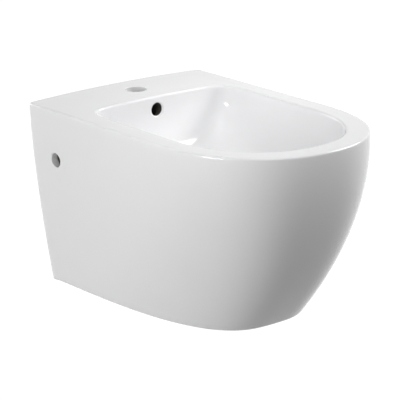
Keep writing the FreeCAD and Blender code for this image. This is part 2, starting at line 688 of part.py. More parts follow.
def trap_inlet_nut():
    bore = WASTE_RADIUS + THREAD_GAP
    outer = bore + NUT_WALL
    lip = PIPE_RADIUS + EASY_GAP
    top = TAIL_END + INLET_NUT_GRIP
    nut = turned([(lip, INLET_NUT_LOW), (outer, INLET_NUT_LOW), (outer, top), (bore, top), (bore, COLLAR_LOW),
                  (lip, COLLAR_LOW)])
    return ribbed(nut, outer, at_drain(INLET_NUT_LOW), at_drain(top))


def trap_inlet_seal():
    return ring(WASTE_RADIUS - EASY_GAP, PIPE_RADIUS, COLLAR_TOP, TAIL_END)


def trap_dip_tube():
    dip = ring(PIPE_RADIUS, PIPE_RADIUS - PIPE_WALL, DIP_END, COLLAR_TOP)
    collar = ring(WASTE_RADIUS - EASY_GAP, PIPE_RADIUS - PIPE_WALL, COLLAR_LOW, COLLAR_TOP)
    return dip.fuse(collar).removeSplitter()


def trap_tube_seal():
    inner = PIPE_RADIUS + THREAD_GAP
    return ring(inner + TUBE_SEAL_WIDTH, inner, HEAD_TOP, HEAD_COLLAR_TOP)


def trap_head():
    hole = PIPE_RADIUS + THREAD_GAP
    seal = hole + TUBE_SEAL_WIDTH + EASY_GAP
    collar = seal + TRAP_COLLAR_WALL
    inside = NECK_RADIUS - TRAP_WALL
    ceiling = HEAD_TOP - TRAP_WALL
    shell = turned([(hole, HEAD_TOP), (seal, HEAD_TOP), (seal, HEAD_COLLAR_TOP), (collar, HEAD_COLLAR_TOP),
                    (collar, HEAD_TOP), (TRAP_RADIUS - TRAP_SHOULDER, HEAD_TOP),
                    (TRAP_RADIUS, HEAD_TOP - TRAP_SHOULDER), (TRAP_RADIUS, HEAD_LOW), (NECK_RADIUS, HEAD_LOW),
                    (NECK_RADIUS, NECK_LOW), (inside, NECK_LOW), (inside, ceiling), (hole, ceiling)])
    stub = rod(STUB_RADIUS, at_outlet(-DRAIN_FROM_WALL), at_outlet(STUB_END))
    stub = stub.cut(rod(inside, at_drain(NECK_LOW), at_drain(HEAD_TOP)))
    stop = TRAP_RADIUS - DRAIN_FROM_WALL
    head = shell.fuse(stub)
    head = head.cut(rod(STUB_BORE, at_outlet(stop), at_outlet(STUB_END)))
    head = head.cut(rod(PIPE_RADIUS - STUB_STOP, at_outlet(-DRAIN_FROM_WALL), at_outlet(stop)))
    return head.removeSplitter()


def trap_cup():
    bore = NECK_RADIUS + THREAD_GAP
    inside = NECK_RADIUS - CUP_SEAL_WIDTH
    outside = inside + TRAP_WALL
    ledge = CUP_LEDGE_TOP - CUP_LEDGE
    floor = CUP_LOW + TRAP_WALL
    outer = [(0, CUP_LOW), (outside - CUP_BEVEL, CUP_LOW), (outside, CUP_LOW + CUP_BEVEL), (outside, ledge),
             (CUP_RADIUS, ledge), (CUP_RADIUS, HEAD_LOW)]
    inner = [(bore, HEAD_LOW), (bore, CUP_LEDGE_TOP), (inside, CUP_LEDGE_TOP), (inside, floor + CUP_BEVEL),
             (inside - CUP_BEVEL, floor), (0, floor)]
    cup = turned(outer + inner)
    return ribbed(cup, CUP_RADIUS, at_drain(ledge), at_drain(HEAD_LOW))


def trap_cup_seal():
    return ring(NECK_RADIUS - THREAD_GAP, NECK_RADIUS - CUP_SEAL_WIDTH, CUP_LEDGE_TOP, NECK_LOW)


def trap_outlet_seal():
    end = at_outlet(STUB_END + OUTLET_SEAL_LENGTH)
    return tube(STUB_RADIUS - EASY_GAP, PIPE_RADIUS + THREAD_GAP, at_outlet(STUB_END), end)


def trap_outlet_nut():
    bore = STUB_RADIUS + THREAD_GAP
    outer = bore + NUT_WALL
    start = at_outlet(STUB_END - OUTLET_NUT_GRIP)
    lip = at_outlet(STUB_END + OUTLET_SEAL_LENGTH)
    end = at_outlet(STUB_END + OUTLET_SEAL_LENGTH + NUT_LIP)
    nut = tube(outer, bore, start, lip).fuse(tube(outer, PIPE_RADIUS + EASY_GAP, lip, end)).removeSplitter()
    return ribbed(nut, outer, start, end)


def outlet_pipe():
    stop = at_outlet(TRAP_RADIUS - DRAIN_FROM_WALL)
    pipe = tube(PIPE_RADIUS, PIPE_RADIUS - PIPE_WALL, stop, at_outlet(0))
    end = at_outlet(-SPIGOT_LENGTH)
    start = at_outlet(-SPIGOT_LENGTH - MARK_WIDTH)
    return pipe.cut(tube(PIPE_RADIUS + OVERRUN, PIPE_RADIUS - MARK_DEPTH, start, end))


# Wall fixing, made on the right

def wall_sleeve():
    sleeve = tube(SLEEVE_RADIUS, STUD_HOLE_RADIUS, at_stud(-SLEEVE_LENGTH), at_stud(0))
    return sleeve.cut(rod(CLAMP_RADIUS + THREAD_GAP, at_clamp(CLAMP_TIP_X), at_clamp(LUG_INNER)))


def sleeve_bush():
    bore = SLEEVE_RADIUS + EASY_GAP
    bush = tube(BUSH_RADIUS, bore, at_stud(-BACK_WALL), at_stud(0))
    lip = tube(BUSH_RADIUS + BUSH_LIP, bore, at_stud(-BACK_WALL - BUSH_LIP), at_stud(-BACK_WALL))
    return bush.fuse(lip).removeSplitter()


def clamp_saddle():
    half = Vector(0, SADDLE_LENGTH / 2, SADDLE_HEIGHT / 2)
    start = at_clamp(STUD_X)
    end = at_clamp(LUG_INNER)
    saddle = block(start - half, end + half)
    reach = Vector(0, SADDLE_LENGTH, 0)
    saddle = saddle.cut(rod(SLEEVE_RADIUS + THREAD_GAP, start - reach, start + reach))
    return saddle.cut(rod(CLAMP_RADIUS + EASY_GAP, start, end))


def clamp_screw():
    head_end = at_clamp(CLAMP_HEAD_X + CLAMP_HEAD_HEIGHT)
    shank = rod(CLAMP_RADIUS, at_clamp(CLAMP_TIP_X), at_clamp(CLAMP_HEAD_X))
    head = rod(CLAMP_HEAD_RADIUS, at_clamp(CLAMP_HEAD_X), head_end)
    socket = hexagon(CLAMP_SOCKET_FLATS, head_end - Vector(CLAMP_SOCKET_DEPTH, 0, 0), head_end)
    return shank.fuse(head).cut(socket).removeSplitter()


def clamp_washer():
    return tube(CLAMP_WASHER_RADIUS, CLAMP_RADIUS + EASY_GAP, at_clamp(LUG_OUTER), at_clamp(CLAMP_HEAD_X))


def stud_washer():
    front = -SLEEVE_LENGTH - STUD_WASHER_HEIGHT
    return tube(STUD_WASHER_RADIUS, STUD_HOLE_RADIUS, at_stud(front), at_stud(-SLEEVE_LENGTH))


def stud_nut():
    back = at_stud(-SLEEVE_LENGTH - STUD_WASHER_HEIGHT)
    front = back - Vector(0, STUD_NUT_HEIGHT, 0)
    return hexagon(STUD_NUT_FLATS, front, back).cut(rod(STUD_NUT_BORE, front, back))


def pair(solid):
    """Both copies of a fastener, as separate solids of one node."""
    return Part.makeCompound([solid, mirrored(solid)])


def main():
    os.makedirs("parts", exist_ok=True)
    single = [ceramic_body, waste_body, waste_flange_seal, waste_under_seal, waste_slip_washer,
              waste_back_nut, click_cartridge, cartridge_cap, click_spring, plug_stem, plug_cap, plug_seal,
              trap_inlet_nut, trap_inlet_seal, trap_dip_tube, trap_tube_seal, trap_head, trap_cup,
              trap_cup_seal, trap_outlet_nut, trap_outlet_seal, outlet_pipe]
    nodes = {make.__name__: make() for make in single}
    for make in (wall_sleeve, sleeve_bush, clamp_saddle):
        nodes[make.__name__ + "_right"] = make()
        nodes[make.__name__ + "_left"] = mirrored(make())
    for make, name in ((clamp_screw, "clamp_screws"), (clamp_washer, "clamp_washers"),
                       (stud_washer, "stud_washers"), (stud_nut, "stud_nuts")):
        nodes[name] = pair(make())
    for name, shape in nodes.items():
        shape.exportStep(f"parts/{name}.step")
        state = "valid" if shape.isValid() else "not valid"
        print(name, len(shape.Solids), "solids", round(shape.Volume), "mm3", state)


main()
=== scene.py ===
import json
import math

import bmesh
import bpy
import numpy as np
from bpy.props import FloatProperty, FloatVectorProperty, PointerProperty
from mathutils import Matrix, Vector

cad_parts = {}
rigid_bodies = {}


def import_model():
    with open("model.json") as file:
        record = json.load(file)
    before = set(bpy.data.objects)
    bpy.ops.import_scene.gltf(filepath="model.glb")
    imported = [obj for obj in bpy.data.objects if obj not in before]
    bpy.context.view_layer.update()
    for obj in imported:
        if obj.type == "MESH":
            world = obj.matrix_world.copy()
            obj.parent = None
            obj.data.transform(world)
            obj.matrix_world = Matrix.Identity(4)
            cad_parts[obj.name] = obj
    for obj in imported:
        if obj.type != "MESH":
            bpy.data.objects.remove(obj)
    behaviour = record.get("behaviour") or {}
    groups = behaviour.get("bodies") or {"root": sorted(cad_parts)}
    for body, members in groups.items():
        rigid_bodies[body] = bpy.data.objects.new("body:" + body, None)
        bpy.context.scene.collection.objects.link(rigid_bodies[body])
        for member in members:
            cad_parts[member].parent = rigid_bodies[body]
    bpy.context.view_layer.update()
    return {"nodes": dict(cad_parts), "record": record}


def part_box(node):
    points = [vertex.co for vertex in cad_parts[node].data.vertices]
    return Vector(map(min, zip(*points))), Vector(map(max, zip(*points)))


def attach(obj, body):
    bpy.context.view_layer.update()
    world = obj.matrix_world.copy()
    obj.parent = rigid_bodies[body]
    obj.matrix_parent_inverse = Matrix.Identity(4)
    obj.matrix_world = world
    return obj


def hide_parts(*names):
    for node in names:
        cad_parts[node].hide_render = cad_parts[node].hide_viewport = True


bl_info = {
    "name": "Wall-hung bidet",
    "version": (1, 0, 0),
    "blender": (4, 5, 0),
    "location": "View3D > Sidebar > Bidet",
    "description": "Dresses a wall-hung bidet: glazed china, bowl waste, bottle trap and wall fixing",
    "category": "Object",
}

# Everything is in metres, in the frame of the CAD model.
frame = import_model()
SLOT_OF = {part["node"]: part["material_slot"] for part in frame["record"]["subparts"]}
TAP = next(mount for mount in frame["record"]["mounts"] if mount["name"] == "tap_hole")
CHINA_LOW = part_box("ceramic_body")[0]


def linear(code):
    """Linear RGBA of an sRGB hex colour."""
    shares = [int(code[at:at + 2], 16) / 255 for at in (1, 3, 5)]
    return tuple(s / 12.92 if s <= 0.04045 else ((s + 0.055) / 1.055) ** 2.4 for s in shares) + (1.0,)


class ChinaSettings(bpy.types.PropertyGroup):
    """Sizes and colours of the china."""

    width: FloatProperty(name="Width", description="Across the rim", default=0.360, unit="LENGTH")
    length: FloatProperty(name="Length", description="Wall to nose at the rim", unit="LENGTH",
                          default=-CHINA_LOW.y)
    base_width: FloatProperty(name="Base width", description="Across the underside at the wall",
                              default=0.280, unit="LENGTH")
    base_length: FloatProperty(name="Base length", description="Wall to nose at the underside",
                               default=0.405, unit="LENGTH")
    crown: FloatProperty(name="Deck crown", description="Rise of the deck in the middle of its back edge",
                         default=0.0045, unit="LENGTH")
    rim_width: FloatProperty(name="Rim width", description="Outer edge to bowl edge",
                             default=0.037, unit="LENGTH")
    rim_round: FloatProperty(name="Rim rounding", description="Rounding of the outer rim edge",
                             default=0.0035, unit="LENGTH")
    bowl_round: FloatProperty(name="Bowl edge rounding",
                              description="Rounding of the edge between bowl and deck",
                              default=0.0042, unit="LENGTH")
    corner_round: FloatProperty(name="Corner rounding",
                                description="Rounding of the two upright corners at the wall",
                                default=0.010, unit="LENGTH")
    base_round: FloatProperty(name="Base rounding", description="Rounding of the edge round the underside",
                              default=0.009, unit="LENGTH")
    bowl_soft: FloatProperty(name="Bowl softness",
                             description="How fast the bowl's back corners open out below the rim",
                             default=3.0)
    bowl_back: FloatProperty(name="Bowl from wall", description="Wall to the bowl's back edge",
                             default=0.112, unit="LENGTH")
    bowl_depth: FloatProperty(name="Bowl depth", description="Rim to drain", default=0.122, unit="LENGTH")
    tap_radius: FloatProperty(name="Tap hole radius", description="Radius of the hole in the deck",
                              default=TAP["dims"]["r_mm"] / 1000, unit="LENGTH")
    overflow_radius: FloatProperty(name="Overflow radius", description="Radius of the hole in the bowl",
                                   default=0.011, unit="LENGTH")
    overflow_drop: FloatProperty(name="Overflow drop", description="Rim down to the overflow's middle",
                                 default=0.0195, unit="LENGTH")
    side_radius: FloatProperty(name="Side hole radius", description="Radius of the holes in the sides",
                               default=0.0117, unit="LENGTH")
    glaze: FloatVectorProperty(name="Glaze", description="Colour of the glaze", subtype="COLOR", size=4,
                               default=linear("#EEEEEF"))
    biscuit: FloatVectorProperty(name="Biscuit", description="Colour of the bare fired clay",
                                 subtype="COLOR", size=4, default=linear("#D8D2C6"))
    # The duct's colour is painted shade: a dark clay stands in for the shadow deep in the overflow's hole and
    # duct.
    duct: FloatVectorProperty(name="Duct", description="Colour of the damp clay inside the overflow",
                              subtype="COLOR", size=4, default=linear("#4A4641"))


class FittingSettings(bpy.types.PropertyGroup):
    """Colours and sizes of the metal, plastic and rubber fittings."""

    chrome: FloatVectorProperty(name="Chrome", description="Colour of the chrome plate", subtype="COLOR",
                                size=4, default=linear("#D6D8DA"))
    brass: FloatVectorProperty(name="Brass", description="Colour of the turned brass", subtype="COLOR",
                               size=4, default=linear("#CDB077"))
    rubber: FloatVectorProperty(name="Rubber", description="Colour of the rubber rings", subtype="COLOR",
                                size=4, default=linear("#2B2B2C"))
    plastic: FloatVectorProperty(name="Trap plastic", description="Colour of the trap", subtype="COLOR",
                                 size=4, default=linear("#E6E6E2"))
    nylon: FloatVectorProperty(name="Nylon", description="Colour of the bushes and saddles", subtype="COLOR",
                               size=4, default=linear("#8D9092"))
    zinc: FloatVectorProperty(name="Zinc plate", description="Colour of the plated steel", subtype="COLOR",
                              size=4, default=linear("#C2C6C9"))
    wire: FloatVectorProperty(name="Spring wire", description="Colour of the spring", subtype="COLOR",
                              size=4, default=linear("#A9ABAC"))
    thread_pitch: FloatProperty(name="Thread pitch", description="Pitch of the waste's pipe thread",
                                default=0.00231, unit="LENGTH", precision=5)


class StageSettings(bpy.types.PropertyGroup):
    """Floor and lights."""

    floor: FloatVectorProperty(name="Floor", description="Colour of the floor", subtype="COLOR", size=4,
                               default=linear("#727271"))
    floor_level: FloatProperty(name="Floor level", description="Height of the floor", default=-0.75,
                               unit="LENGTH")
    fill: FloatProperty(name="Fill light", description="Strength of the light from all round", default=0.1)
    key: FloatProperty(name="Key light", description="Power of the large light on the left", default=41.0,
                       subtype="POWER")
    edge: FloatProperty(name="Edge light", description="Power of the light on the left that the rim mirrors",
                        default=40.0, subtype="POWER")
    top: FloatProperty(name="Top light", description="Power of the light above", default=18.5,
                       subtype="POWER")
    right: FloatProperty(name="Right light", description="Power of the light on the right", default=97.0,
                         subtype="POWER")
    back: FloatProperty(name="Back light", description="Power of the light on the back", default=26.0,
                        subtype="POWER")
    bowl: FloatProperty(name="Bowl light", description="Power of the narrow light into the bowl",
                        default=148.0, subtype="POWER")


# Nodes and materials

# Sockets of a Mix node that mixes colours.
FACTOR, COLOUR_A, COLOUR_B, COLOUR_OUT = 0, 6, 7, 2


def add(tree, kind, inputs=None, **settings):
    """Adds a node with its settings; a socket given as an input is linked, and anything else is its value."""
    node = tree.nodes.new(kind)
    for name, value in settings.items():
        setattr(node, name, value)
    for name, value in (inputs or {}).items():
        if isinstance(value, bpy.types.NodeSocket):
            tree.links.new(value, node.inputs[name])
        else:
            node.inputs[name].default_value = value
    return node


def blank(name):
    """A new material with an empty node tree."""
    material = bpy.data.materials.new(name)
    material.use_nodes = True
    material.node_tree.nodes.clear()
    return material, material.node_tree


def per(millimetres):
    """Texture scale that repeats about once in a length."""
    return 1000.0 / millimetres


def shaded(colour, share):
    """A colour made lighter or darker by a share."""
    return tuple(min(1.0, c * (1 + share)) for c in colour[:3]) + (1.0,)


def vitreous_china(colour):
    """Opaque white glaze, fired on by dipping: near mirror-smooth, with a faint ripple and pooled tint."""
    material, tree = blank("glazed_vitreous_china")
    place = add(tree, "ShaderNodeTexCoord").outputs["Object"]
    # The glaze pools over hand widths, so its tint drifts at about 70 mm.
    pool = add(tree, "ShaderNodeTexNoise", {"Vector": place, "Scale": per(70), "Detail": 2.0})
    tint = add(tree, "ShaderNodeMix", {
        FACTOR: pool.outputs["Fac"], COLOUR_A: shaded(colour, -0.015), COLOUR_B: shaded(colour, 0.01)},
        data_type="RGBA")
    gloss = add(tree, "ShaderNodeMapRange", {
        "Value": pool.outputs["Fac"], "To Min": 0.05, "To Max": 0.10})
    # Orange-peel ripple of a dipped glaze, about 9 mm from crest to crest and a few microns deep.
    ripple = add(tree, "ShaderNodeTexNoise", {"Vector": place, "Scale": per(9), "Detail": 1.0})
    bump = add(tree, "ShaderNodeBump", {
        "Height": ripple.outputs["Fac"], "Strength": 0.12, "Distance": 0.00003})
    shader = add(tree, "ShaderNodeBsdfPrincipled", {
        "Base Color": tint.outputs[COLOUR_OUT], "Roughness": gloss.outputs["Result"],
        "Normal": bump.outputs["Normal"], "IOR": 1.52})
    add(tree, "ShaderNodeOutputMaterial", {"Surface": shader.outputs["BSDF"]})
    return material


def biscuit_china(name, colour):
    """Bare fired clay where the glaze was wiped off or never ran: matt, with sponge marks and fine grit."""
    material, tree = blank(name)
    place = add(tree, "ShaderNodeTexCoord").outputs["Object"]
    # Wet sponge marks about 35 mm across, and clay grit drawn at 1.5 mm so that it shows.
    sponge = add(tree, "ShaderNodeTexNoise", {"Vector": place, "Scale": per(35), "Detail": 4.0})
    grit = add(tree, "ShaderNodeTexNoise", {"Vector": place, "Scale": per(1.5), "Detail": 2.0})
    wash = add(tree, "ShaderNodeMix", {
        FACTOR: sponge.outputs["Fac"], COLOUR_A: shaded(colour, -0.18), COLOUR_B: shaded(colour, 0.06)},
        data_type="RGBA")
    speck = add(tree, "ShaderNodeMix", {
        FACTOR: grit.outputs["Fac"], COLOUR_A: shaded(colour, -0.12), COLOUR_B: wash.outputs[COLOUR_OUT]},
        data_type="RGBA")
    bump = add(tree, "ShaderNodeBump", {
        "Height": grit.outputs["Fac"], "Strength": 0.35, "Distance": 0.0002})
    shader = add(tree, "ShaderNodeBsdfPrincipled", {
        "Base Color": speck.outputs[COLOUR_OUT], "Roughness": 0.82, "Normal": bump.outputs["Normal"]})
    add(tree, "ShaderNodeOutputMaterial", {"Surface": shader.outputs["BSDF"]})
    return material


def worked(name, colour, drift, metallic, rough, grain, depth, stretch=(1.0, 1.0, 1.0)):
    """A surface with a grain: its gloss varies with it, it stands a little in relief, and its colour drifts.

    drift is the change of colour, rough the least and most roughness, grain the grain's size in millimetres,
    depth its relief in millimetres, and stretch shortens the grain along an axis, as a turned or drawn one is.
    """
    material, tree = blank(name)
    place = add(tree, "ShaderNodeTexCoord").outputs["Object"]
    laid = add(tree, "ShaderNodeMapping", {"Vector": place, "Scale": stretch}, vector_type="POINT")
    mark = add(tree, "ShaderNodeTexNoise", {
        "Vector": laid.outputs["Vector"], "Scale": per(grain), "Detail": 3.0})
    # The colour drifts in clouds that are 8 mm wider than a dozen grains.
    cloud = add(tree, "ShaderNodeTexNoise", {"Vector": place, "Scale": per(12 * grain + 8), "Detail": 2.0})
    tint = add(tree, "ShaderNodeMix", {
        FACTOR: cloud.outputs["Fac"], COLOUR_A: shaded(colour, -drift), COLOUR_B: shaded(colour, drift)},
        data_type="RGBA")
    gloss = add(tree, "ShaderNodeMapRange", {
        "Value": mark.outputs["Fac"], "To Min": rough[0], "To Max": rough[1]})
    bump = add(tree, "ShaderNodeBump", {
        "Height": mark.outputs["Fac"], "Strength": 0.3, "Distance": depth / 1000})
    shader = add(tree, "ShaderNodeBsdfPrincipled", {
        "Base Color": tint.outputs[COLOUR_OUT], "Metallic": metallic, "Roughness": gloss.outputs["Result"],
        "Normal": bump.outputs["Normal"]})
    add(tree, "ShaderNodeOutputMaterial", {"Surface": shader.outputs["BSDF"]})
    return material


# The look of each fitting's slot: the setting that holds its colour, and what worked() takes.
FITTING_LOOKS = {
    # Polished plate: a mirror with faint wiping marks.
    "chrome_brass": ("chrome", {
        "name": "polished_chrome_plate", "drift": 0.02, "metallic": 1.0, "rough": (0.06, 0.13),
        "grain": 3, "depth": 0.004}),
    # Lathe-turned bar: fine rings across the drain's axis.
    "brass": ("brass", {
        "name": "turned_brass", "drift": 0.06, "metallic": 1.0, "rough": (0.22, 0.36),
        "grain": 6, "depth": 0.02, "stretch": (1, 1, 12)}),
    # Pressed rubber: matt, with a dusty bloom.
    "black_rubber": ("rubber", {
        "name": "moulded_nitrile_rubber", "drift": 0.18, "metallic": 0.0, "rough": (0.62, 0.82),
        "grain": 1.2, "depth": 0.05}),
    # Injection moulding with a satin spark-eroded skin, drawn at 1.5 mm so that it shows.
    "white_plastic": ("plastic", {
        "name": "moulded_polypropylene", "drift": 0.03, "metallic": 0.0, "rough": (0.32, 0.46),
        "grain": 1.5, "depth": 0.03}),
    # Glass-filled nylon: satin, with a slightly mottled skin.
    "grey_nylon": ("nylon", {
        "name": "moulded_nylon", "drift": 0.06, "metallic": 0.0, "rough": (0.45, 0.62),
        "grain": 1.5, "depth": 0.04}),
    # Bright zinc over drawn steel: spangled, with faint lines along the sleeves.
    "zinc_steel": ("zinc", {
        "name": "bright_zinc_plate", "drift": 0.08, "metallic": 1.0, "rough": (0.24, 0.42),
        "grain": 5, "depth": 0.02, "stretch": (6, 1, 6)}),
    # Drawn wire: fine lines along the coil.
    "spring_steel": ("wire", {
        "name": "drawn_spring_wire", "drift": 0.05, "metallic": 1.0, "rough": (0.2, 0.34),
        "grain": 2, "depth": 0.01, "stretch": (1, 1, 6)}),
}
FINISHES = {}


def fitting_finish(slot):
    """The material of a fitting's slot, made once."""
    if slot not in FINISHES:
        setting, look = FITTING_LOOKS[slot]
        FINISHES[slot] = worked(colour=getattr(bpy.context.scene.bidet_fittings, setting), **look)
    return FINISHES[slot]


# Meshes

def shown(name, mesh):
    """A new object at the origin for a mesh."""
    piece = bpy.data.objects.new(name, mesh)
    bpy.context.scene.collection.objects.link(piece)
    return piece


def smoothed(mesh, degrees):
    """Shades a mesh smooth, with the edges that turn by more than an angle kept sharp."""
    mesh.polygons.foreach_set("use_smooth", [True] * len(mesh.polygons))
    mesh.set_sharp_from_angle(angle=math.radians(degrees))
    return mesh


def shell(name, rings, finish):
    """Closed mesh through a loop of rings with the same number of points each.

    finish gives the material of the strip that follows each ring.
    """
    count = len(rings[0])
    points = np.concatenate(rings)
    faces = []
    strips = []
    for ring in range(len(rings)):
        after = (ring + 1) % len(rings)
        for step in range(count):
            beside = (step + 1) % count
            faces.append((ring * count + step, ring * count + beside,
                          after * count + beside, after * count + step))
            strips.append(finish[ring])
    mesh = bpy.data.meshes.new(name)
    mesh.from_pydata(points.tolist(), [], faces)
    mesh.polygons.foreach_set("material_index", strips)
    work = bmesh.new()
    work.from_mesh(mesh)
    bmesh.ops.recalc_face_normals(work, faces=work.faces)
    work.to_mesh(mesh)
    work.free()
    return mesh


def solid_of(name, rings, finish):
    """Closed mesh through rings from end to end, with its two ends filled; finish gives each strip's material."""
    count = len(rings[0])
    work = bmesh.new()
    rows = [[work.verts.new(point) for point in ring] for ring in rings]
    for strip, (row, after) in enumerate(zip(rows, rows[1:])):
        for step in range(count):
            beside = (step + 1) % count
            side = work.faces.new((row[step], row[beside], after[beside], after[step]))
            side.material_index = finish[strip]
    work.faces.new(rows[0])
    work.faces.new(rows[-1])
    bmesh.ops.recalc_face_normals(work, faces=work.faces)
    mesh = bpy.data.meshes.new(name)
    work.to_mesh(mesh)
    work.free()
    return mesh


def cut(piece, cutters):
    """Mesh of a piece with the cutters' meshes taken out of it."""
    group = bpy.data.collections.new("cutters")
    for cutter in cutters:
        group.objects.link(bpy.data.objects.new(cutter.name, cutter))
    holes = piece.modifiers.new("holes", "BOOLEAN")
    holes.operation = "DIFFERENCE"
    holes.operand_type = "COLLECTION"
    holes.collection = group
    holes.solver = "EXACT"
    mesh = bpy.data.meshes.new_from_object(piece.evaluated_get(bpy.context.evaluated_depsgraph_get()))
    piece.modifiers.clear()
    for cutter in list(group.objects):
        bpy.data.objects.remove(cutter)
    bpy.data.collections.remove(group)
    return mesh


def joined(name, meshes):
    """One mesh out of several, with their material indices kept."""
    work = bmesh.new()
    for mesh in meshes:
        work.from_mesh(mesh)
    mesh = bpy.data.meshes.new(name)
    work.to_mesh(mesh)
    work.free()
    return mesh


# China

# Materials of the china's mesh, in order: glaze, bare clay, and a dark clay that paints the shade deep in the
# overflow's hole and duct.
GLAZED, BARE, PAINTED_SHADE = range(3)

# Levels, walls and the corners of the hollow.
RIM = 0.084
UNDERSIDE = CHINA_LOW.z
DECK_LOW = 0.070
SKIRT_WALL = 0.012
BACK_WALL = 0.014
BASE_WALL = 0.012
BOWL_WALL = 0.010
HOLLOW_CORNER = 0.002

# The outline is straight from the wall to these distances at the rim and at the base, and a power curve from
# there round the nose. The tapers are the powers by which it gets shorter and narrower on the way down.
SIDE_STRAIGHT, BASE_STRAIGHT = 0.318, 0.030
RIM_POWER, BASE_POWER = 2.26, 3.0
LENGTH_TAPER, WIDTH_TAPER = 2.0, 1.44
LEAST_CORNER = 0.0008

# The deck's crown runs out this far ahead of the nose, and the skirt's rings keep this far from the rounded edges.
CROWN_RUNOUT = 0.005
SKIRT_BELOW_RIM, SKIRT_ABOVE_BASE = 0.010, 0.014

# The edge round the base has a small rounding at the wall and its full one from here on. The skirt's lean at that
# edge is taken over a small step up.
WALL_EDGE_ROUND, FULL_ROUND_FROM, LEAN_STEP = 0.001, 0.02, 0.002

# The opening in the base: its distance from the skirt's outside and from the wall, and its corners.
BASE_INSET, BASE_FROM_WALL, BASE_CORNER = 0.034, 0.040, 0.003

# The bowl: powers of its back outline and of its side curve, and the turn where its edge's rounding takes over.
BOWL_MIDDLE = Vector((0, -SIDE_STRAIGHT, 0))
BOWL_BACK_POWER, BOWL_SIDE_POWER = 10.0, 2.5
BOWL_TOP_TURN = math.radians(84)

# The drain: the round dish that falls to it, the seat of the waste's flange, and the boss under it.
DRAIN = Vector((0, -0.262, 0))
DISH_RADIUS, FLOOR_FALL = 0.045, 0.008
SEAT, SEAT_RADIUS, SEAT_CHAMFER = -0.042, 0.0335, 0.001
BOSS_LOW, BOSS_RADIUS, BOSS_BORE = -0.082, 0.03705, 0.02305

# The overflow's duct: where it starts and goes down behind the bowl's back edge, its foot there, its end in the
# boss, the run that each bend takes up, and its wall.
DUCT_START, DUCT_BACK, DUCT_FOOT = 0.006, 0.022, -0.052
DUCT_END = Vector((0, -0.232, -0.0615))
DUCT_BEND, DUCT_WALL = 0.015, 0.005

# The clamp lugs: half their height, front and back, inner and outer face, and the radius of the screw's hole.
CLAMP_AXIS = Vector((0, -0.067, 0))
LUG_HALF, LUG_FRONT, LUG_BACK = 0.026, -0.091, -0.005
LUG_INNER, LUG_OUTER, LUG_HOLE = 0.112, 0.122, 0.0045

# The wall sleeves' holes in the back plate, one on each side of the middle.
SLEEVE_HOLE, SLEEVE_OUT = 0.0171, 0.090

# Cutters stand out of the face that they cut. A round one flares a little there and ends in small flats.
HOLE_OVERSHOOT, WINDOW_OVERSHOOT = 0.02, 0.01
CUTTER_FLARE, CUTTER_FLAT = 0.0002, 0.0005

# Rays from the bowl's middle that carry the rings' points, in degrees: from the nose along the side, closer
# together over the wall corner, and on to the middle of the back.
NOSE_RAY, CORNER_FROM, CORNER_TO, WALL_RAY = -90, 48, 73, 90
SIDE_RAYS, CORNER_RAYS, BACK_RAYS = 64, 52, 12

# How finely the rest is divided, and how often a search for a point of an outline or a turn of the bowl is halved.
BOWL_RINGS, EDGE_RINGS, DECK_RINGS, SKIRT_RINGS, BASE_STEPS = 40, 9, 14, 36, 7
HOLLOW_RINGS, BOWL_UNDER_RINGS = 14, 24
HOLE_POINTS, DUCT_POINTS, LUG_POINTS = 96, 48, 64
MOUTH_STEPS, BEND_POINTS = 6, 9
OUTLINE_HALVINGS, TURN_HALVINGS = 44, 40


def directions():
    """Angles round the bowl's middle, from the nose and back, closer together at the wall corners."""
    right = list(np.linspace(NOSE_RAY, CORNER_FROM, SIDE_RAYS, endpoint=False))
    right += list(np.linspace(CORNER_FROM, CORNER_TO, CORNER_RAYS, endpoint=False))
    right += list(np.linspace(CORNER_TO, WALL_RAY, BACK_RAYS))
    left = [180 - turn for turn in reversed(right[1:-1])]
    return np.radians(np.array(right + left))


def round_turns(points):
    """Angles evenly round a circle."""
    return np.linspace(0, 2 * math.pi, points, endpoint=False)


def body_ring(china, turns, level, inset=0.0, back=0.0, corner=None):
    """Outline of the body at a level, set in from its outside and ended at a distance from the wall."""
    share = max(0.0, (RIM - level) / (RIM - UNDERSIDE))
    half = (china.width - (china.width - china.base_width) * share ** WIDTH_TAPER) / 2 - inset
    length = china.length - (china.length - china.base_length) * share ** LENGTH_TAPER - inset
    straight = SIDE_STRAIGHT - (SIDE_STRAIGHT - BASE_STRAIGHT) * share ** LENGTH_TAPER
    power = RIM_POWER + (BASE_POWER - RIM_POWER) * share
    corner = max(china.corner_round - inset, LEAST_CORNER) if corner is None else corner
    low = np.zeros_like(turns)
    high = np.full_like(turns, 2 * china.length)
    for _ in range(OUTLINE_HALVINGS):
        reach = (low + high) / 2
        x = np.abs(np.cos(turns) * reach)
        y = BOWL_MIDDLE.y + np.sin(turns) * reach
        ahead = np.clip(-y - straight, 0, None) / (length - straight)
        inside = (x / half) ** power + ahead ** power < 1
        inside &= y < back
        beyond_x = x - half + corner
        beyond_y = y - back + corner
        inside &= ~((beyond_x > 0) & (beyond_y > 0) & (np.hypot(beyond_x, beyond_y) > corner))
        low = np.where(inside, reach, low)
        high = np.where(inside, high, reach)
    return np.stack([np.cos(turns) * low, BOWL_MIDDLE.y + np.sin(turns) * low, np.full_like(turns, level)], 1)


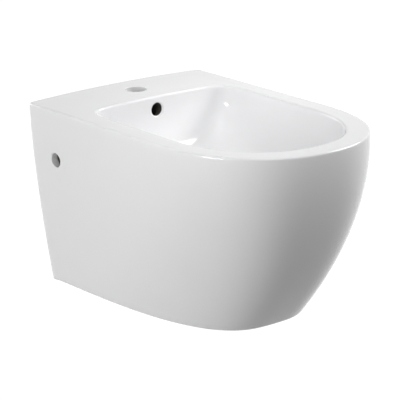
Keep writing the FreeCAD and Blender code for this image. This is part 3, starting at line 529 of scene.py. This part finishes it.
def bowl_ring(china, turns, level, spread, offset=0.0):
    """Outline of the bowl, between its round dish and its edge."""
    across = np.cos(turns) / (china.width / 2 - china.rim_width + offset)
    back_power = RIM_POWER + (BOWL_BACK_POWER - RIM_POWER) * spread ** china.bowl_soft
    power = np.where(np.sin(turns) > 0, back_power, RIM_POWER)
    ahead = np.where(np.sin(turns) > 0, SIDE_STRAIGHT - china.bowl_back,
                     china.length - china.rim_width - SIDE_STRAIGHT)
    along = np.sin(turns) / (ahead + offset)
    reach = (np.abs(across) ** power + np.abs(along) ** power) ** (-1 / power)
    way = np.stack([np.cos(turns), np.sin(turns), np.zeros_like(turns)], 1)
    edge = np.array(BOWL_MIDDLE) + way * reach[:, None]
    dish = np.array(DRAIN) + way * (DISH_RADIUS + offset)
    ring = dish * (1 - spread) + edge * spread
    ring[:, 2] = level
    return ring


def bowl_turn(china, turns, turn, offset=0.0):
    """Ring of the bowl's wall at a turn of its side curve, from 0 at the drain to a right angle at the rim."""
    spread = math.sin(turn) ** (2 / BOWL_SIDE_POWER)
    rise = 1 - max(0.0, math.cos(turn)) ** (2 / BOWL_SIDE_POWER)
    floor = RIM - china.bowl_depth - offset
    level = floor + (china.bowl_depth + offset - FLOOR_FALL) * rise + FLOOR_FALL * spread
    return bowl_ring(china, turns, level, spread, offset)


def drain_ring(turns, radius, level):
    """Ring round the drain."""
    return np.stack([DRAIN.x + np.cos(turns) * radius, DRAIN.y + np.sin(turns) * radius,
                     np.full_like(turns, level)], 1)


def on_deck(china, ring, drop=0.0):
    """The same ring, lifted to the deck: crowned across its back end and almost level at the nose."""
    radius = (china.width ** 2 / 4 + china.crown ** 2) / (2 * china.crown)
    out = np.minimum(np.abs(ring[:, 0]), china.width / 2)
    rise = china.crown - radius + np.sqrt(radius ** 2 - out ** 2)
    lifted = ring.copy()
    lifted[:, 2] = RIM + rise * (1 + ring[:, 1] / (china.length + CROWN_RUNOUT)) - drop
    return lifted


def base_edge(china, turns, steps):
    """Rings of the rounded edge between the skirt and the underside, from the top down."""
    edge = body_ring(china, turns, UNDERSIDE)
    above = body_ring(china, turns, UNDERSIDE + LEAN_STEP)
    along = np.roll(edge, -1, 0) - np.roll(edge, 1, 0)
    out = np.stack([along[:, 1], -along[:, 0]], 1)
    out /= np.linalg.norm(out, axis=1)[:, None]
    lean = np.sum((above - edge)[:, :2] * out, 1) / LEAN_STEP
    away = np.clip(-edge[:, 1] / FULL_ROUND_FROM, 0, 1)
    radius = WALL_EDGE_ROUND + (china.base_round - WALL_EDGE_ROUND) * away
    slant = np.sqrt(1 + lean ** 2)
    middle = radius * (lean - slant)
    last = np.arctan2(1 / slant, lean / slant)
    rings = []
    for step in range(steps, -1, -1):
        turn = last * step / steps
        ring = edge.copy()
        ring[:, :2] += out * (middle + radius * np.sin(turn))[:, None]
        ring[:, 2] += radius * (1 - np.cos(turn))
        rings.append(ring)
    return rings


def china_shell(china):
    """The china without its holes: bowl, deck, skirt, and the hollow between them, in one closed loop of rings."""
    turns = directions()
    floor = RIM - china.bowl_depth
    glazed = [drain_ring(turns, SEAT_RADIUS, SEAT), drain_ring(turns, SEAT_RADIUS, floor - SEAT_CHAMFER),
              drain_ring(turns, SEAT_RADIUS + SEAT_CHAMFER, floor)]
    glazed += [bowl_turn(china, turns, turn) for turn in np.linspace(0, BOWL_TOP_TURN, BOWL_RINGS)]
    lip = china.bowl_round
    for turn in np.radians(np.linspace(0, 90, EDGE_RINGS)):
        ring = bowl_ring(china, turns, RIM, 1.0, lip * (1 - math.cos(turn)))
        glazed.append(on_deck(china, ring, lip * (1 - math.sin(turn))))
    inner = glazed[-1]
    lip = china.rim_round
    outer = body_ring(china, turns, RIM, lip, -lip)
    for share in np.linspace(0, 1, DECK_RINGS)[1:-1]:
        glazed.append(on_deck(china, inner * (1 - share) + outer * share))
    for turn in np.radians(np.linspace(90, 0, EDGE_RINGS)):
        inset = lip * (1 - math.cos(turn))
        ring = body_ring(china, turns, RIM, inset, -inset)
        glazed.append(on_deck(china, ring, lip * (1 - math.sin(turn))))
    for level in np.linspace(RIM - SKIRT_BELOW_RIM, UNDERSIDE + SKIRT_ABOVE_BASE, SKIRT_RINGS):
        glazed.append(body_ring(china, turns, level))
    glazed += base_edge(china, turns, BASE_STEPS)

    bare = [body_ring(china, turns, UNDERSIDE, BASE_INSET, -BASE_FROM_WALL, BASE_CORNER)]
    ledge = UNDERSIDE + BASE_WALL
    opening = bare[0].copy()
    opening[:, 2] = ledge
    bare.append(opening)
    for level in np.linspace(ledge, DECK_LOW, HOLLOW_RINGS):
        bare.append(body_ring(china, turns, level, SKIRT_WALL, -BACK_WALL, HOLLOW_CORNER))
    low, high = 0.0, math.pi / 2
    for _ in range(TURN_HALVINGS):
        turn = (low + high) / 2
        if bowl_turn(china, turns, turn, BOWL_WALL)[0, 2] < DECK_LOW:
            low = turn
        else:
            high = turn
    bare += [bowl_turn(china, turns, turn, BOWL_WALL) for turn in np.linspace(low, 0, BOWL_UNDER_RINGS)]
    bare += [drain_ring(turns, BOSS_RADIUS, floor - BOWL_WALL), drain_ring(turns, BOSS_RADIUS, BOSS_LOW),
             drain_ring(turns, BOSS_BORE, BOSS_LOW), drain_ring(turns, BOSS_BORE, SEAT)]
    return shell("china_shell", glazed + bare, [GLAZED] * len(glazed) + [BARE] * len(bare))


def hole_cutter(name, radius, rounding, mouth, way, depth, bore=GLAZED):
    """Round bar that cuts a hole with a rounded mouth.

    way points out of the face at the mouth, and bore is the material of the hole's wall behind the mouth.
    """
    profile = [(radius, depth), (radius, rounding)]
    for step in range(1, MOUTH_STEPS + 1):
        turn = math.pi / 2 * step / MOUTH_STEPS
        profile.append((radius + rounding * (1 - math.cos(turn)), rounding * (1 - math.sin(turn))))
    profile.append((profile[-1][0] + CUTTER_FLARE, -HOLE_OVERSHOOT))
    turns = round_turns(HOLE_POINTS)
    side = Vector(way).orthogonal().normalized()
    other = Vector(way).cross(side)
    rings = []
    for wide, deep in [(CUTTER_FLAT, depth)] + profile + [(CUTTER_FLAT, -HOLE_OVERSHOOT)]:
        middle = Vector(mouth) - Vector(way) * deep
        rings.append(np.array([middle + side * (wide * math.cos(turn)) + other * (wide * math.sin(turn))
                               for turn in turns]))
    return solid_of(name, rings, [bore, bore] + [GLAZED] * len(profile))


def window_cutter(name, half, low, high, corner):
    """Bar with rounded corners that cuts the opening in the back plate."""
    outline = []
    for x, z, start in ((half, high, 0), (-half, high, 90), (-half, low, 180), (half, low, 270)):
        for turn in np.radians(np.linspace(start, start + 90, BEND_POINTS)):
            outline.append((x - math.copysign(corner, x) + corner * math.cos(turn),
                            z - math.copysign(corner, z - (low + high) / 2) + corner * math.sin(turn)))
    ends = (-BACK_WALL - WINDOW_OVERSHOOT, WINDOW_OVERSHOOT)
    return solid_of(name, [np.array([(x, y, z) for x, z in outline]) for y in ends], [BARE])


def overflow_duct(china):
    """Duct behind the bowl that takes overflow water down and forward to the drain."""
    top = RIM - china.overflow_drop
    corners = [Vector((0, DUCT_START - china.bowl_back, top)), Vector((0, DUCT_BACK - china.bowl_back, top)),
               Vector((0, DUCT_BACK - china.bowl_back, DUCT_FOOT)), DUCT_END]
    path = [corners[0]]
    for before, corner, after in zip(corners, corners[1:], corners[2:]):
        come, leave = (before - corner).normalized(), (after - corner).normalized()
        start, end = corner + come * DUCT_BEND, corner + leave * DUCT_BEND
        for share in np.linspace(0, 1, BEND_POINTS):
            path.append(start * (1 - share) ** 2 + corner * (2 * share * (1 - share)) + end * share ** 2)
    path.append(corners[-1])
    turns = round_turns(DUCT_POINTS)
    rings = []
    for radius, route in ((china.overflow_radius + DUCT_WALL, path), (china.overflow_radius, path[::-1])):
        for index, point in enumerate(route):
            ahead = route[min(index + 1, len(route) - 1)] - route[max(index - 1, 0)]
            way = ahead.normalized() * (1 if route is path else -1)
            up = Vector((1, 0, 0)).cross(way)
            rings.append(np.array([
                point + Vector((radius * math.cos(turn), 0, 0)) + up * (radius * math.sin(turn))
                for turn in turns]))
    # The duct's inside takes the dark clay, which paints the shade deep in the duct.
    return shell("overflow_duct", rings, [BARE] * len(path) + [PAINTED_SHADE] * len(path))


def clamp_lug(side):
    """Web on the back plate with the hole that a clamp screw passes through."""
    turns = round_turns(LUG_POINTS)
    rim = []
    for turn in turns:
        c, s = math.cos(turn), math.sin(turn)
        room = (LUG_BACK - CLAMP_AXIS.y) if c > 0 else (CLAMP_AXIS.y - LUG_FRONT)
        reach = min(room / max(abs(c), 1e-6), LUG_HALF / max(abs(s), 1e-6))
        rim.append((CLAMP_AXIS.y + c * reach, s * reach))
    hole = [(CLAMP_AXIS.y + LUG_HOLE * math.cos(turn), LUG_HOLE * math.sin(turn)) for turn in turns]
    loops = [(LUG_INNER, rim), (LUG_INNER, hole), (LUG_OUTER, hole), (LUG_OUTER, rim)]
    rings = [np.array([(side * x, y, z) for y, z in loop]) for x, loop in loops]
    return shell("clamp_lug", rings, [BARE] * len(rings))


class BIDET_OT_china(bpy.types.Operator):
    """Make the glazed china body"""

    bl_idname = "bidet.china"
    bl_label = "China body"

    def execute(self, context):
        china = context.scene.bidet_china
        body = shown("china_body", china_shell(china))
        tap = on_deck(china, np.array([[TAP["pos_m"][0], TAP["pos_m"][1], 0.0]]))[0]
        overflow = (0, -china.bowl_back, RIM - china.overflow_drop)
        cutters = [
            hole_cutter("tap_hole", china.tap_radius, rounding=0.0012, mouth=tap, way=(0, 0, 1),
                        depth=0.030),
            # The overflow hole's wall behind the mouth takes the dark clay, which paints the shade there.
            hole_cutter("overflow_hole", china.overflow_radius, rounding=0.0024, mouth=overflow,
                        way=(0, -1, 0), depth=0.0125, bore=PAINTED_SHADE),
            window_cutter("back_opening", half=0.0599, low=-0.204, high=0.044, corner=0.020),
        ]
        clamp_turn = math.atan2(CLAMP_AXIS.y - BOWL_MIDDLE.y, china.width / 2)
        side_face = body_ring(china, np.array([clamp_turn]), CLAMP_AXIS.z)[0, 0]
        for side in (1, -1):
            cutters.append(hole_cutter(
                "side_hole", china.side_radius, rounding=0.0015, mouth=(side * side_face, CLAMP_AXIS.y, 0),
                way=(side, 0, 0), depth=0.030))
            cutters.append(hole_cutter(
                "sleeve_hole", SLEEVE_HOLE, rounding=0.001, mouth=(side * SLEEVE_OUT, 0, 0),
                way=(0, 1, 0), depth=0.020))
        holed = cut(body, cutters)
        body.data = joined("china_body", [holed, overflow_duct(china), clamp_lug(1), clamp_lug(-1)])
        body.data.materials.append(vitreous_china(china.glaze))
        body.data.materials.append(biscuit_china("unglazed_china", china.biscuit))
        # Dark clay that paints the shade in the overflow's hole and duct.
        body.data.materials.append(biscuit_china("damp_unglazed_china", china.duct))
        smoothed(body.data, degrees=32)
        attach(body, "bidet")
        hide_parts("ceramic_body")
        return {"FINISHED"}


# Fittings

# The waste's thread: the radius at the middle of its ridge, the ridge's own, and the gap to the nuts at its ends.
THREAD_RADIUS, THREAD_RIDGE, THREAD_GAP = 0.02095, 0.0005, 0.0006


def fitting(node, body):
    """Makes a smooth copy of a CAD node, with its doubles merged and the finish of its slot."""
    work = bmesh.new()
    work.from_mesh(frame["nodes"][node].data)
    bmesh.ops.remove_doubles(work, verts=work.verts, dist=2e-6)
    mesh = bpy.data.meshes.new(node + "_finished")
    work.to_mesh(mesh)
    work.free()
    mesh.materials.append(fitting_finish(SLOT_OF[node]))
    piece = shown(node + "_finished", smoothed(mesh, degrees=30))
    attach(piece, body)
    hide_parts(node)


def thread_tree():
    """Node tree of a screw thread: a ridge wound round a bar."""
    tree = bpy.data.node_groups.new("Screw thread", "GeometryNodeTree")
    for name, kind in (("Radius", "Float"), ("Pitch", "Float"), ("Length", "Float"), ("Ridge", "Float"),
                       ("Middle", "Vector"), ("Finish", "Material")):
        tree.interface.new_socket(name, in_out="INPUT", socket_type="NodeSocket" + kind)
    tree.interface.new_socket("Thread", in_out="OUTPUT", socket_type="NodeSocketGeometry")
    given = add(tree, "NodeGroupInput").outputs
    wound = add(tree, "ShaderNodeMath", {0: given["Length"], 1: given["Pitch"]}, operation="DIVIDE")
    helix = add(tree, "GeometryNodeCurveSpiral", {
        "Resolution": 64, "Rotations": wound.outputs[0], "Start Radius": given["Radius"],
        "End Radius": given["Radius"], "Height": given["Length"]})
    crest = add(tree, "GeometryNodeCurvePrimitiveCircle", {"Resolution": 6, "Radius": given["Ridge"]},
                mode="RADIUS")
    ridge = add(tree, "GeometryNodeCurveToMesh", {
        "Curve": helix.outputs[0], "Profile Curve": crest.outputs[0], "Fill Caps": True})
    placed = add(tree, "GeometryNodeTransform", {
        "Geometry": ridge.outputs[0], "Translation": given["Middle"]})
    real = add(tree, "GeometryNodeRealizeInstances", {0: placed.outputs[0]})
    done = add(tree, "GeometryNodeSetMaterial", {"Geometry": real.outputs[0], "Material": given["Finish"]})
    add(tree, "NodeGroupOutput", {"Thread": done.outputs[0]})
    return tree


def thread(name, tree, **sizes):
    """A screw thread from its node tree, as a plain mesh."""
    holder = shown(name, bpy.data.meshes.new(name))
    wound = holder.modifiers.new("thread", "NODES")
    wound.node_group = tree
    for item in tree.interface.items_tree:
        if item.in_out == "INPUT":
            wound[item.identifier] = sizes[item.name.lower()]
    mesh = bpy.data.meshes.new_from_object(holder.evaluated_get(bpy.context.evaluated_depsgraph_get()))
    bpy.data.objects.remove(holder)
    return shown(name, smoothed(mesh, degrees=40))


class BIDET_OT_waste(bpy.types.Operator):
    """Finish the bowl waste, and wind the thread on its tail"""

    bl_idname = "bidet.waste"
    bl_label = "Bowl waste"

    def execute(self, context):
        for node in ("waste_body", "waste_flange_seal", "waste_under_seal", "waste_slip_washer",
                     "waste_back_nut", "click_cartridge", "cartridge_cap"):
            fitting(node, "bidet")
        # The spring stays the CAD node, which stretches with the plug.
        frame["nodes"]["click_spring"].material_slots[0].material = fitting_finish("spring_steel")
        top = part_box("waste_back_nut")[0].z - THREAD_GAP
        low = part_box("trap_inlet_nut")[1].z + THREAD_GAP
        piece = thread("waste_thread", thread_tree(), radius=THREAD_RADIUS, ridge=THREAD_RIDGE,
                       pitch=context.scene.bidet_fittings.thread_pitch, length=top - low,
                       middle=Vector((DRAIN.x, DRAIN.y, low)), finish=fitting_finish("chrome_brass"))
        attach(piece, "bidet")
        return {"FINISHED"}


class BIDET_OT_plug(bpy.types.Operator):
    """Finish the push plug that rises from the drain"""

    bl_idname = "bidet.plug"
    bl_label = "Push plug"

    def execute(self, context):
        for node in ("plug_cap", "plug_seal", "plug_stem"):
            fitting(node, "drain_plug")
        return {"FINISHED"}


class BIDET_OT_trap(bpy.types.Operator):
    """Finish the bottle trap and its outlet pipe"""

    bl_idname = "bidet.trap"
    bl_label = "Bottle trap"

    def execute(self, context):
        for node in sorted(SLOT_OF):
            if node.startswith("trap_") or node == "outlet_pipe":
                fitting(node, "bidet")
        return {"FINISHED"}


class BIDET_OT_wall_fixing(bpy.types.Operator):
    """Finish the sleeves, bushes, saddles, screws and nuts that hold the body on the wall"""

    bl_idname = "bidet.wall_fixing"
    bl_label = "Wall fixing"

    def execute(self, context):
        for node in sorted(SLOT_OF):
            if node.startswith(("wall_sleeve", "sleeve_bush", "clamp_", "stud_")):
                fitting(node, "bidet")
        return {"FINISHED"}


# Stage

# The floor's half width, and the points that the lamps face.
FLOOR_HALF = 30.0
BODY_MIDDLE = Vector((0, -0.25, -0.07))
BOWL_AIM = Vector((0.07, -0.215, 0.045))

# The camera at the photo's viewing angle; its lens and sensor are in millimetres.
CAMERA_AZIMUTH, CAMERA_ELEVATION = math.radians(-39.97), math.radians(17.28)
CAMERA_TARGET = Vector((0, -0.250, -0.076))
CAMERA_DISTANCE = 3.486
CAMERA_LENS, CAMERA_SENSOR = 195.3, 36.0
CAMERA_SHIFT = (-0.0289, 0.0270)
CAMERA_SEES_TO = 200.0


def seen_directly(tree):
    """Socket that is 1 for rays from the camera, off gloss or through glass, and 0 for diffuse light."""
    rays = add(tree, "ShaderNodeLightPath").outputs
    seen = add(tree, "ShaderNodeMath", {0: rays["Is Camera Ray"], 1: rays["Is Glossy Ray"]},
               operation="MAXIMUM")
    through = add(tree, "ShaderNodeMath", {0: seen.outputs[0], 1: rays["Is Transmission Ray"]},
                  operation="MAXIMUM")
    return through.outputs[0]


def white_studio(fill):
    """World that is white to the eye and in reflections, and gives a little light from all round."""
    world = bpy.data.worlds.new("white_studio")
    world.use_nodes = True
    tree = world.node_tree
    tree.nodes.clear()
    strength = add(tree, "ShaderNodeMapRange", {"Value": seen_directly(tree), "To Min": fill, "To Max": 1.0})
    light = add(tree, "ShaderNodeBackground", {
        "Color": (1, 1, 1, 1), "Strength": strength.outputs["Result"]})
    add(tree, "ShaderNodeOutputWorld", {"Surface": light.outputs[0]})
    bpy.context.scene.world = world


def studio_floor(colour):
    """Paper floor: matt, keeps the object's shadow, throws little light up, and glows until it looks white."""
    material, tree = blank("pale_studio_paper")
    place = add(tree, "ShaderNodeTexCoord").outputs["Object"]
    # The paper's tone drifts over about 400 mm.
    fibre = add(tree, "ShaderNodeTexNoise", {"Vector": place, "Scale": per(400), "Detail": 2.0})
    tint = add(tree, "ShaderNodeMix", {
        FACTOR: fibre.outputs["Fac"], COLOUR_A: shaded(colour, -0.01), COLOUR_B: shaded(colour, 0.01)},
        data_type="RGBA")
    paper = add(tree, "ShaderNodeBsdfPrincipled", {"Base Color": tint.outputs[COLOUR_OUT], "Roughness": 0.9})
    # The lamps light the paper near the object, so its glow makes up less there, and the shadow stays.
    away = add(tree, "ShaderNodeVectorMath", {0: place}, operation="LENGTH")
    needed = add(tree, "ShaderNodeMapRange", {
        "Value": away.outputs["Value"], "From Min": 0.8, "From Max": 4.0, "To Min": 0.86, "To Max": 0.98})
    glow = add(tree, "ShaderNodeMath", {0: needed.outputs["Result"], 1: seen_directly(tree)},
               operation="MULTIPLY")
    light = add(tree, "ShaderNodeEmission", {"Color": (1, 1, 1, 1), "Strength": glow.outputs[0]})
    both = add(tree, "ShaderNodeAddShader", {0: paper.outputs[0], 1: light.outputs[0]})
    add(tree, "ShaderNodeOutputMaterial", {"Surface": both.outputs[0]})
    return material


def soft_light(name, place, aim, size, power, cone=None, diffuse=True, glossy=True):
    """Soft box that faces a point, or a spot with a soft edge where a cone in degrees is given.

    With diffuse off it shows in reflections only, and with glossy off it lights and isn't reflected.
    """
    data = bpy.data.lights.new(name, "SPOT" if cone else "AREA")
    if cone:
        data.spot_size = math.radians(cone)
        data.spot_blend = 1.0
        data.shadow_soft_size = size[0] / 2
        data.use_soft_falloff = True
    else:
        data.shape = "RECTANGLE"
        data.size, data.size_y = size
    data.energy = power
    lamp = bpy.data.objects.new(name, data)
    lamp.location = place
    lamp.rotation_euler = (Vector(aim) - Vector(place)).to_track_quat("-Z", "Y").to_euler()
    lamp.visible_diffuse, lamp.visible_glossy = diffuse, glossy
    bpy.context.scene.collection.objects.link(lamp)


class BIDET_OT_stage(bpy.types.Operator):
    """Lay the floor, set the lights and aim the camera"""

    bl_idname = "bidet.stage"
    bl_label = "Floor, light and camera"

    def execute(self, context):
        stage = context.scene.bidet_stage
        mesh = bpy.data.meshes.new("floor")
        mesh.from_pydata([(x * FLOOR_HALF, y * FLOOR_HALF, stage.floor_level)
                          for x, y in ((-1, -1), (1, -1), (1, 1), (-1, 1))], [], [(0, 1, 2, 3)])
        mesh.materials.append(studio_floor(stage.floor))
        shown("floor", mesh)
        white_studio(stage.fill)
        soft_light("key_light", place=(-2.62, -0.45, 0.08), aim=BODY_MIDDLE, size=(2.4, 1.5),
                   power=stage.key, glossy=False)
        soft_light("edge_light", place=(-2.45, -0.6, 0.2), aim=BODY_MIDDLE, size=(0.86, 0.5),
                   power=stage.edge, diffuse=False)
        soft_light("top_light", place=(-0.8, -1.2, 2.1), aim=BODY_MIDDLE, size=(2.0, 2.0), power=stage.top)
        soft_light("right_light", place=(2.75, -1.3, 1.95), aim=BODY_MIDDLE, size=(2.2, 1.3),
                   power=stage.right)
        soft_light("back_light", place=(-0.8, 2.6, 0.8), aim=BODY_MIDDLE, size=(1.6, 1.6), power=stage.back)
        soft_light("bowl_light", place=(-1.3, -1.65, 1.75), aim=BOWL_AIM, size=(0.3, 0.3),
                   power=stage.bowl, cone=7.6, glossy=False)

        back = Vector((math.sin(CAMERA_AZIMUTH) * math.cos(CAMERA_ELEVATION),
                       -math.cos(CAMERA_AZIMUTH) * math.cos(CAMERA_ELEVATION), math.sin(CAMERA_ELEVATION)))
        data = bpy.data.cameras.new("camera")
        data.sensor_fit = "HORIZONTAL"
        data.sensor_width = CAMERA_SENSOR
        data.lens = CAMERA_LENS
        data.shift_x, data.shift_y = CAMERA_SHIFT
        data.clip_end = CAMERA_SEES_TO
        camera = bpy.data.objects.new("camera", data)
        camera.location = CAMERA_TARGET + back * CAMERA_DISTANCE
        camera.rotation_euler = (-back).to_track_quat("-Z", "Y").to_euler()
        context.scene.collection.objects.link(camera)
        context.scene.camera = camera
        context.scene.view_settings.view_transform = "Standard"
        return {"FINISHED"}


class VIEW3D_PT_bidet(bpy.types.Panel):
    """Sidebar panel that lists the pieces and their settings"""

    bl_label = "Wall-hung bidet"
    bl_space_type = "VIEW_3D"
    bl_region_type = "UI"
    bl_category = "Bidet"

    def draw(self, context):
        for maker in MAKERS:
            self.layout.operator(maker.bl_idname)
        for group in SETTINGS:
            settings = getattr(context.scene, group)
            box = self.layout.box()
            for name in settings.__annotations__:
                box.prop(settings, name)


MAKERS = (BIDET_OT_china, BIDET_OT_waste, BIDET_OT_plug, BIDET_OT_trap, BIDET_OT_wall_fixing, BIDET_OT_stage)
SETTINGS = {"bidet_china": ChinaSettings, "bidet_fittings": FittingSettings, "bidet_stage": StageSettings}


def register():
    for kind in (*SETTINGS.values(), *MAKERS, VIEW3D_PT_bidet):
        bpy.utils.register_class(kind)
    for name, kind in SETTINGS.items():
        setattr(bpy.types.Scene, name, PointerProperty(type=kind))


def unregister():
    for name in SETTINGS:
        delattr(bpy.types.Scene, name)
    for kind in reversed((*SETTINGS.values(), *MAKERS, VIEW3D_PT_bidet)):
        bpy.utils.unregister_class(kind)


def main():
    register()
    bpy.ops.bidet.china()
    bpy.ops.bidet.waste()
    bpy.ops.bidet.plug()
    bpy.ops.bidet.trap()
    bpy.ops.bidet.wall_fixing()
    bpy.ops.bidet.stage()


if __name__ == "__main__":
    main()
